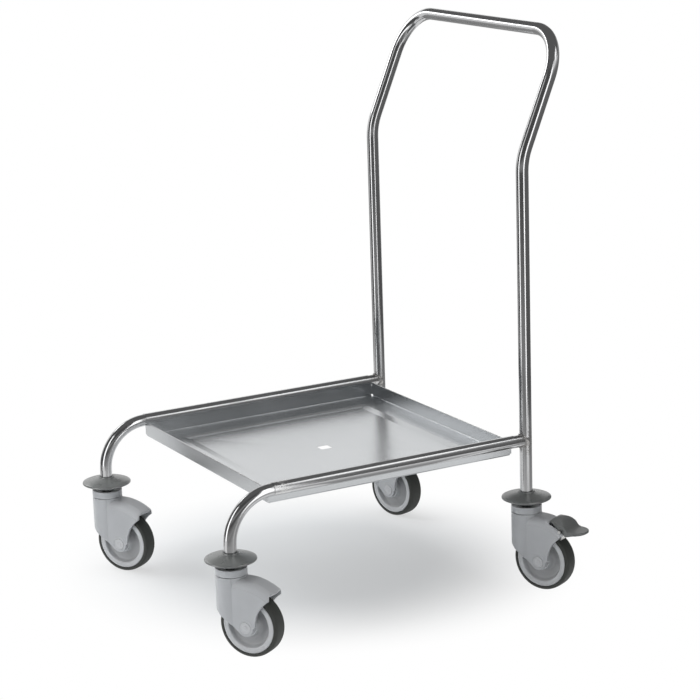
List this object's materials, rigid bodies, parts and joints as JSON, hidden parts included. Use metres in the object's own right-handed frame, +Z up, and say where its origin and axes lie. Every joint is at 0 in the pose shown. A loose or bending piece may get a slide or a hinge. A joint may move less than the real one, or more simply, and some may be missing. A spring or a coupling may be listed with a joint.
{
  "type": "dishwasher rack trolley",
  "caption": "Push trolley for dishwasher racks: bent steel tube frame with leaning push handle, shallow drained sheet tray and swivel castors with bumpers and rear brakes.",
  "frame": {"origin": "middle of the tray floor at the height of its flat border, 276 mm above the ground", "axes": "+Z up, +X to the trolley's right, +Y from the bent front legs towards the push handle"},
  "size_m": [0.7667, 0.8319, 1.1275],
  "materials": {
    "tube_steel": "satin stainless tube, fine grain along the tube",
    "sheet_steel": "brushed stainless sheet, grain across the trolley",
    "weld_steel": "ground and brushed weld bead",
    "plated_steel": "zinc-plated steel",
    "bearing_steel": "ground bearing steel",
    "castor_grey": "moulded grey nylon, fine matt texture",
    "wheel_grey": "moulded pale grey nylon",
    "cap_grey": "moulded grey nylon",
    "tyre_grey": "solid dark grey rubber",
    "bumper_grey": "soft dark grey rubber",
    "pedal_grey": "moulded dark grey nylon",
    "plug_black": "moulded black nylon"
  },
  "bodies": {
    "trolley_frame": {"handle_tube": "tube_steel", "left_side_rail": "tube_steel", "right_side_rail": "tube_steel", "rail_welds": "weld_steel", "tray": "sheet_steel", "bumper_front_left": "bumper_grey", "tube_plug_front_left": "plug_black", "stem_front_left": "plated_steel", "stem_nut_front_left": "plated_steel", "collar_front_left": "castor_grey", "bumper_front_right": "bumper_grey", "tube_plug_front_right": "plug_black", "stem_front_right": "plated_steel", "stem_nut_front_right": "plated_steel", "collar_front_right": "castor_grey", "bumper_rear_left": "bumper_grey", "tube_plug_rear_left": "plug_black", "stem_rear_left": "plated_steel", "stem_nut_rear_left": "plated_steel", "collar_rear_left": "castor_grey", "bumper_rear_right": "bumper_grey", "tube_plug_rear_right": "plug_black", "stem_rear_right": "plated_steel", "stem_nut_rear_right": "plated_steel", "collar_rear_right": "castor_grey"},
    "swivel_front_left": {"fork_front_left": "castor_grey", "swivel_bearing_front_left": "bearing_steel", "axle_front_left": "plated_steel", "axle_caps_front_left": "cap_grey"},
    "wheel_front_left": {"wheel_core_front_left": "wheel_grey", "tyre_front_left": "tyre_grey", "wheel_bearings_front_left": "bearing_steel"},
    "swivel_front_right": {"fork_front_right": "castor_grey", "swivel_bearing_front_right": "bearing_steel", "axle_front_right": "plated_steel", "axle_caps_front_right": "cap_grey"},
    "wheel_front_right": {"wheel_core_front_right": "wheel_grey", "tyre_front_right": "tyre_grey", "wheel_bearings_front_right": "bearing_steel"},
    "swivel_rear_left": {"fork_rear_left": "castor_grey", "swivel_bearing_rear_left": "bearing_steel", "axle_rear_left": "plated_steel", "axle_caps_rear_left": "cap_grey", "brake_pin_rear_left": "plated_steel"},
    "wheel_rear_left": {"wheel_core_rear_left": "wheel_grey", "tyre_rear_left": "tyre_grey", "wheel_bearings_rear_left": "bearing_steel"},
    "pedal_rear_left": {"brake_pedal_rear_left": "pedal_grey", "brake_shoe_rear_left": "plated_steel"},
    "swivel_rear_right": {"fork_rear_right": "castor_grey", "swivel_bearing_rear_right": "bearing_steel", "axle_rear_right": "plated_steel", "axle_caps_rear_right": "cap_grey", "brake_pin_rear_right": "plated_steel"},
    "wheel_rear_right": {"wheel_core_rear_right": "wheel_grey", "tyre_rear_right": "tyre_grey", "wheel_bearings_rear_right": "bearing_steel"},
    "pedal_rear_right": {"brake_pedal_rear_right": "pedal_grey", "brake_shoe_rear_right": "plated_steel"}
  },
  "joints": [
    {"name": "swivel_turn_front_left", "type": "hinge", "parent": "trolley_frame", "child": "swivel_front_left", "pos_m": [-0.294, -0.3655, -0.136], "axis": [0, 0, 1], "continuous": true},
    {"name": "wheel_roll_front_left", "type": "hinge", "parent": "swivel_front_left", "child": "wheel_front_left", "pos_m": [-0.25838, -0.34324, -0.2135], "axis": [-0.5299, 0.848, 0], "continuous": true},
    {"name": "swivel_turn_front_right", "type": "hinge", "parent": "trolley_frame", "child": "swivel_front_right", "pos_m": [0.294, -0.3655, -0.136], "axis": [0, 0, 1], "continuous": true},
    {"name": "wheel_roll_front_right", "type": "hinge", "parent": "swivel_front_right", "child": "wheel_front_right", "pos_m": [0.32922, -0.34263, -0.2135], "axis": [-0.5446, 0.8387, 0], "continuous": true},
    {"name": "swivel_turn_rear_left", "type": "hinge", "parent": "trolley_frame", "child": "swivel_rear_left", "pos_m": [-0.294, 0.302, -0.136], "axis": [0, 0, 1], "continuous": true},
    {"name": "wheel_roll_rear_left", "type": "hinge", "parent": "swivel_rear_left", "child": "wheel_rear_left", "pos_m": [-0.25384, 0.31428, -0.2135], "axis": [-0.2924, 0.9563, 0], "continuous": true},
    {"name": "brake_press_rear_left", "type": "hinge", "parent": "swivel_rear_left", "child": "pedal_rear_left", "pos_m": [-0.20774, 0.32837, -0.14337], "axis": [-0.2924, 0.9563, 0], "range_deg": [0, 15]},
    {"name": "swivel_turn_rear_right", "type": "hinge", "parent": "trolley_frame", "child": "swivel_rear_right", "pos_m": [0.294, 0.302, -0.136], "axis": [0, 0, 1], "continuous": true},
    {"name": "wheel_roll_rear_right", "type": "hinge", "parent": "swivel_rear_right", "child": "wheel_rear_right", "pos_m": [0.33175, 0.32041, -0.2135], "axis": [-0.4384, 0.8988, 0], "continuous": true},
    {"name": "brake_press_rear_right", "type": "hinge", "parent": "swivel_rear_right", "child": "pedal_rear_right", "pos_m": [0.37507, 0.34154, -0.14337], "axis": [-0.4384, 0.8988, 0], "range_deg": [0, 15]}
  ]
}
